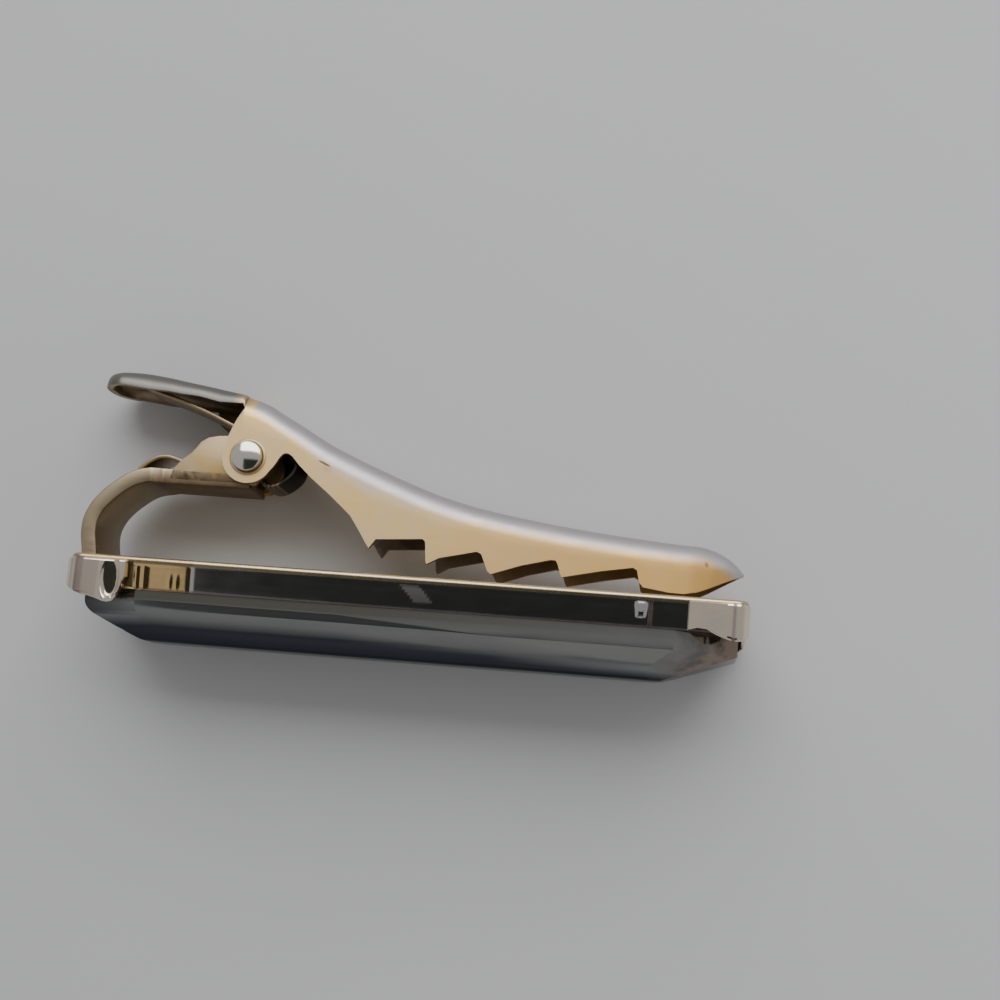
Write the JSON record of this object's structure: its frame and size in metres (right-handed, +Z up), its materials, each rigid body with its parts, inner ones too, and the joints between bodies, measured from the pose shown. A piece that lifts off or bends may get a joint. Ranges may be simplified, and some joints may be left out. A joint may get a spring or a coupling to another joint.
{
  "type": "tie bar",
  "caption": "Sprung alligator-clip tie bar with a long bevelled stone in a thin prong setting; the toothed lever opens on a riveted hinge.",
  "frame": {"origin": "on the surface the bar lies on, under the middle of its box", "axes": "+X along the bar from its hinge end to its nose, +Y from the stone towards the clip's lever, +Z up from the surface that the bar lies on its side on"},
  "size_m": [0.0495, 0.0206, 0.0114],
  "materials": {
    "stone": "mirror-polished dark grey hematite-like stone",
    "setting": "pale gold-tone plating, polished, worn towards grey",
    "rivet": "polished, pale gold-grey",
    "lever": "pale gold-tone plating, satin, worn to grey on its edges",
    "spring": "tarnished spring steel"
  },
  "bodies": {
    "bar": {"stone": "stone", "setting": "setting", "rivet": "rivet", "spring": "spring"},
    "lever": {"lever": "lever"}
  },
  "joints": [
    {"name": "lever_hinge", "type": "hinge", "parent": "bar", "child": "lever", "pos_m": [-0.01275, 0.00378, 0.00392], "axis": [0, 0.1753, 0.9845], "range_deg": [0, 25], "stiffness_Nm_per_rad": 0.02, "springref_deg": -20.05, "deforming": ["spring"]}
  ]
}
